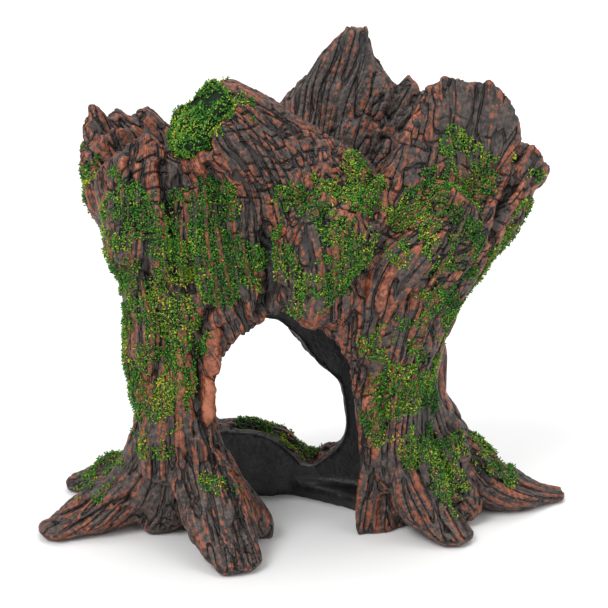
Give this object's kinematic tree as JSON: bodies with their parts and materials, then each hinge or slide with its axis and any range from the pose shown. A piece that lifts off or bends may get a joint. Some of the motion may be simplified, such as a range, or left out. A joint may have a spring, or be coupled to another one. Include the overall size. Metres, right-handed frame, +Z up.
{
  "type": "aquarium cave ornament",
  "caption": "Hollow tree-stump cave ornament for an aquarium, with splayed roots, a front arch, a window in its back wall, a jagged crown and glued moss patches.",
  "frame": {"origin": "middle of the bounding box's footprint, on the ground the feet stand on", "axes": "+Z up, -Y towards the front arch, X across the stump's width"},
  "size_m": [0.172, 0.099, 0.157],
  "materials": {
    "painted_resin": "satin, charcoal with rust dry-brushed ridges",
    "moss_flock": "loose coarse flock in greens and yellow"
  },
  "bodies": {
    "root": {"stump_casting": "painted_resin", "moss_back_left": "moss_flock", "moss_back_right": "moss_flock", "moss_brow": "moss_flock", "moss_finger": "moss_flock", "moss_knot_hole": "moss_flock", "moss_left_lip": "moss_flock", "moss_left_side": "moss_flock", "moss_left_trunk": "moss_flock", "moss_notch": "moss_flock", "moss_right_buttress": "moss_flock", "moss_right_slab": "moss_flock", "moss_root_back_left": "moss_flock", "moss_root_back_right": "moss_flock", "moss_root_front_left": "moss_flock", "moss_root_front_mid": "moss_flock", "moss_root_front_right": "moss_flock", "moss_root_right": "moss_flock", "moss_sill": "moss_flock", "moss_under_stub": "moss_flock"}
  },
  "joints": []
}
